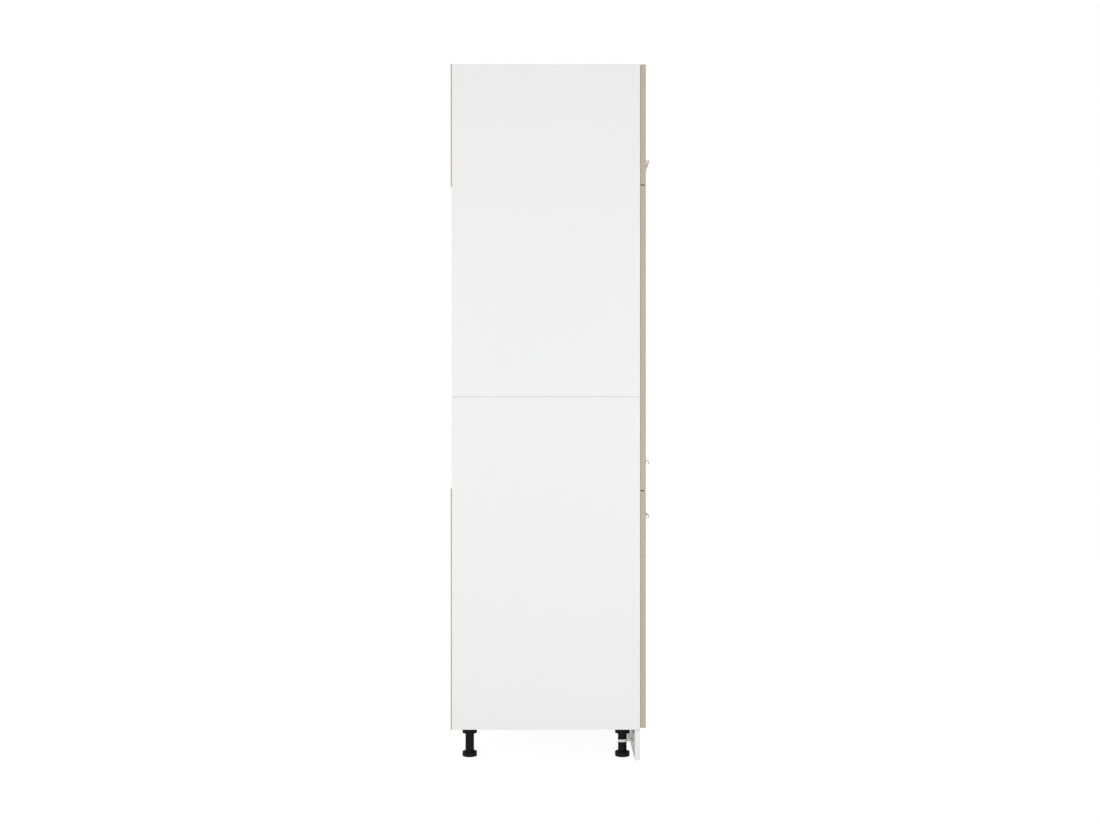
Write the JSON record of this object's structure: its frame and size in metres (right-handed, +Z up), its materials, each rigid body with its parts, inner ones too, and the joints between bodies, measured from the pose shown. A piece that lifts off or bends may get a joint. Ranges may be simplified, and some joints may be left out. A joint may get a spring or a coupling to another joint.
{
  "type": "fridge housing cabinet",
  "caption": "Tall kitchen housing for a built-in fridge: white carcass in stacked halves, open-backed niche between cupboards, beige hinged doors, adjustable legs and a clip-on plinth.",
  "frame": {"origin": "on the floor under the middle of the whole cabinet, doors and handles included", "axes": "+Z up, the doors face -Y, +X to the right as seen from the front"},
  "size_m": [0.6, 0.595, 2.07],
  "materials": {
    "white_board": "white melamine on particle board, fine pearl texture",
    "front_board": "sand beige laminate with matching edge band",
    "back_board": "thin fibreboard, white face inside, brown back and cut edge",
    "beech_dowel": "raw fluted beech",
    "satin_nickel": "satin nickel",
    "nickel_plate": "nickel-plated pressed steel",
    "steel": "bright zinc-plated",
    "zinc_casting": "raw zinc casting",
    "zinc_plate": "zinc-plated sheet",
    "black_plastic": "moulded black",
    "grey_plastic": "moulded light grey",
    "clear_pad": "clear soft pad"
  },
  "bodies": {
    "carcass": {"left_side_upper": "white_board", "left_side_lower": "white_board", "right_side_upper": "white_board", "right_side_lower": "white_board", "top_panel": "white_board", "bottom_panel": "white_board", "niche_top_shelf": "white_board", "niche_floor_shelf": "white_board", "cupboard_shelf": "white_board", "upper_back_panel": "back_board", "lower_back_panel": "back_board", "panel_dowels": "beech_dowel", "side_dowels": "beech_dowel", "hinge_mounting_plates": "nickel_plate", "hinge_arms": "nickel_plate", "hinge_arm_pins": "steel", "hinge_plate_screws": "steel", "hinge_arm_screws": "steel", "joint_plate_screws": "steel", "wall_bracket_screws": "steel", "leg_screws": "steel", "back_nails": "steel", "cam_bolts": "steel", "shelf_pins": "steel", "cam_locks": "zinc_casting", "side_joint_plates": "zinc_plate", "wall_brackets": "zinc_plate", "leg_sockets": "black_plastic", "leg_columns": "black_plastic"},
    "top_links": {"top_hinge_links": "nickel_plate"},
    "top_pins": {"top_cup_pins": "steel"},
    "top_door_leaf": {"top_door": "front_board", "top_handle": "satin_nickel", "top_handle_screws": "steel", "top_door_bumpers": "clear_pad", "top_hinge_cups": "nickel_plate", "top_cup_screws": "steel"},
    "middle_links": {"middle_hinge_links": "nickel_plate"},
    "middle_pins": {"middle_cup_pins": "steel"},
    "middle_door_leaf": {"middle_door": "front_board", "middle_handle": "satin_nickel", "middle_handle_screws": "steel", "middle_door_bumpers": "clear_pad", "middle_hinge_cups": "nickel_plate", "middle_cup_screws": "steel"},
    "bottom_links": {"bottom_hinge_links": "nickel_plate"},
    "bottom_pins": {"bottom_cup_pins": "steel"},
    "bottom_door_leaf": {"bottom_door": "front_board", "bottom_handle": "satin_nickel", "bottom_handle_screws": "steel", "bottom_door_bumpers": "clear_pad", "bottom_hinge_cups": "nickel_plate", "bottom_cup_screws": "steel"},
    "front_left_foot": {"front_left_foot": "black_plastic"},
    "front_right_foot": {"front_right_foot": "black_plastic"},
    "rear_left_foot": {"rear_left_foot": "black_plastic"},
    "rear_right_foot": {"rear_right_foot": "black_plastic"},
    "plinth": {"plinth_board": "white_board", "plinth_clips": "grey_plastic", "plinth_clip_screws": "steel"}
  },
  "joints": [
    {"name": "top_link_turn", "type": "hinge", "parent": "carcass", "child": "top_links", "pos_m": [0.268, -0.2655, 1.891], "axis": [0, 0, -1], "range_deg": [0, 35]},
    {"name": "top_pin_slide", "type": "slide", "parent": "carcass", "child": "top_pins", "axis": [-0.5134, -0.8581, 0], "range_m": [0, 0.013]},
    {"name": "top_door_swing", "type": "hinge", "parent": "top_pins", "child": "top_door_leaf", "pos_m": [0.289, -0.2705, 1.891], "axis": [0, 0, 1], "range_deg": [0, 95]},
    {"name": "middle_link_turn", "type": "hinge", "parent": "carcass", "child": "middle_links", "pos_m": [0.268, -0.2655, 1.2565], "axis": [0, 0, -1], "range_deg": [0, 35]},
    {"name": "middle_pin_slide", "type": "slide", "parent": "carcass", "child": "middle_pins", "axis": [-0.5134, -0.8581, 0], "range_m": [0, 0.013]},
    {"name": "middle_door_swing", "type": "hinge", "parent": "middle_pins", "child": "middle_door_leaf", "pos_m": [0.289, -0.2705, 1.2565], "axis": [0, 0, 1], "range_deg": [0, 95]},
    {"name": "bottom_link_turn", "type": "hinge", "parent": "carcass", "child": "bottom_links", "pos_m": [0.268, -0.2655, 0.4485], "axis": [0, 0, -1], "range_deg": [0, 35]},
    {"name": "bottom_pin_slide", "type": "slide", "parent": "carcass", "child": "bottom_pins", "axis": [-0.5134, -0.8581, 0], "range_m": [0, 0.013]},
    {"name": "bottom_door_swing", "type": "hinge", "parent": "bottom_pins", "child": "bottom_door_leaf", "pos_m": [0.289, -0.2705, 0.4485], "axis": [0, 0, 1], "range_deg": [0, 95]},
    {"name": "front_left_foot_height", "type": "slide", "parent": "carcass", "child": "front_left_foot", "axis": [0, 0, -1], "range_m": [0, 0.02]},
    {"name": "front_right_foot_height", "type": "slide", "parent": "carcass", "child": "front_right_foot", "axis": [0, 0, -1], "range_m": [0, 0.02]},
    {"name": "rear_left_foot_height", "type": "slide", "parent": "carcass", "child": "rear_left_foot", "axis": [0, 0, -1], "range_m": [0, 0.02]},
    {"name": "rear_right_foot_height", "type": "slide", "parent": "carcass", "child": "rear_right_foot", "axis": [0, 0, -1], "range_m": [0, 0.02]},
    {"name": "plinth_pull", "type": "slide", "parent": "carcass", "child": "plinth", "axis": [0, -1, 0], "range_m": [0, 0.1]}
  ],
  "couplings": [
    {"joint": "top_link_turn", "follows": "top_door_swing", "ratio": 0.36842},
    {"joint": "top_pin_slide", "follows": "top_door_swing", "m_per_rad": 0.0078284},
    {"joint": "middle_link_turn", "follows": "middle_door_swing", "ratio": 0.36842},
    {"joint": "middle_pin_slide", "follows": "middle_door_swing", "m_per_rad": 0.0078284},
    {"joint": "bottom_link_turn", "follows": "bottom_door_swing", "ratio": 0.36842},
    {"joint": "bottom_pin_slide", "follows": "bottom_door_swing", "m_per_rad": 0.0078284}
  ]
}
